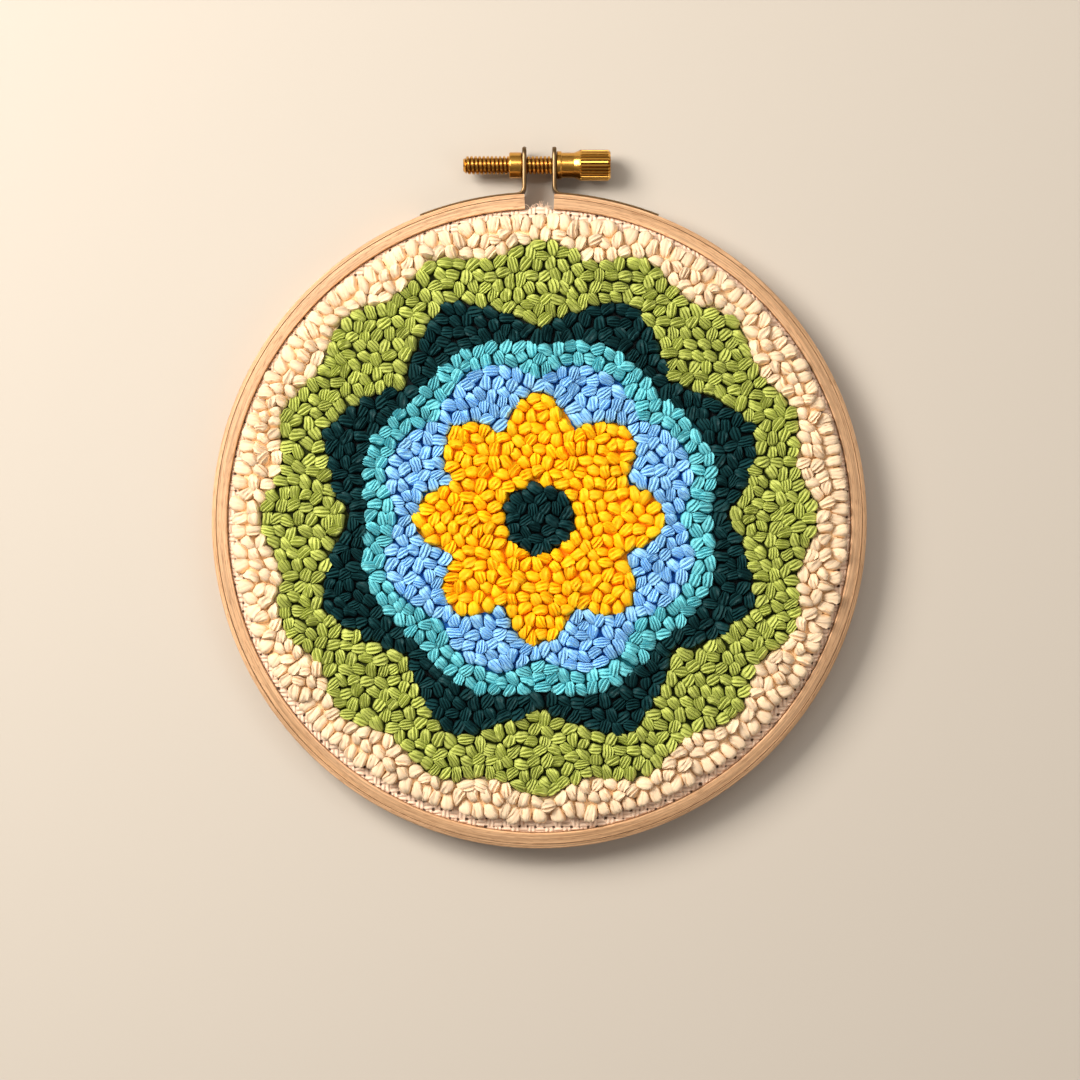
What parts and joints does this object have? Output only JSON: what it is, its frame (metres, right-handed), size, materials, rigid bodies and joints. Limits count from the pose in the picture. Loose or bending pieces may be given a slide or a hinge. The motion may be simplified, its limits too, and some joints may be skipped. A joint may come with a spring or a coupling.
{
  "type": "punch needle wall piece in an embroidery hoop",
  "caption": "Round punch needle wall piece: a looped yarn rosette on open cotton cloth, held in a split wooden embroidery hoop with strap lugs and a thumbscrew.",
  "frame": {"origin": "on the surface the piece lies on, under the middle of its bounding box", "axes": "+Z out of the worked face, +Y from the middle of the hoop towards the screw, +X to the viewer's right, towards the screw's head"},
  "size_m": [0.16, 0.1718, 0.015],
  "materials": {
    "wood": "bare sanded beech, fine grain along the ring",
    "cotton": "open basket-weave cotton",
    "yarn_teal": "plied yarn loops",
    "yarn_gold": "plied yarn loops",
    "yarn_blue": "plied yarn loops",
    "yarn_turquoise": "plied yarn loops",
    "yarn_lime": "plied yarn loops",
    "yarn_cream": "plied yarn loops",
    "nickel": "plated strip, satin",
    "brass": "turned, satin to bright"
  },
  "bodies": {
    "hoop": {"outer_hoop": "wood", "inner_hoop": "wood", "backing_cloth": "cotton", "yarn_seed": "yarn_teal", "yarn_gold": "yarn_gold", "yarn_blue": "yarn_blue", "yarn_turquoise": "yarn_turquoise", "yarn_teal": "yarn_teal", "yarn_lime": "yarn_lime", "yarn_cream": "yarn_cream", "lug_left": "nickel", "lug_right": "nickel", "nut": "brass"},
    "bushing": {"bushing": "brass"},
    "thumbscrew": {"thumbscrew": "brass"}
  },
  "joints": [
    {"name": "bushing_slide", "type": "slide", "parent": "hoop", "child": "bushing", "axis": [1, 0, 0], "range_m": [0, 0.01]},
    {"name": "thumbscrew_turn", "type": "hinge", "parent": "bushing", "child": "thumbscrew", "pos_m": [0, 0.08145, 0.005], "axis": [1, 0, 0], "range_deg": [0, 3600]}
  ],
  "couplings": [
    {"joint": "thumbscrew_turn", "follows": "bushing_slide", "rad_per_m": 6283.2}
  ]
}
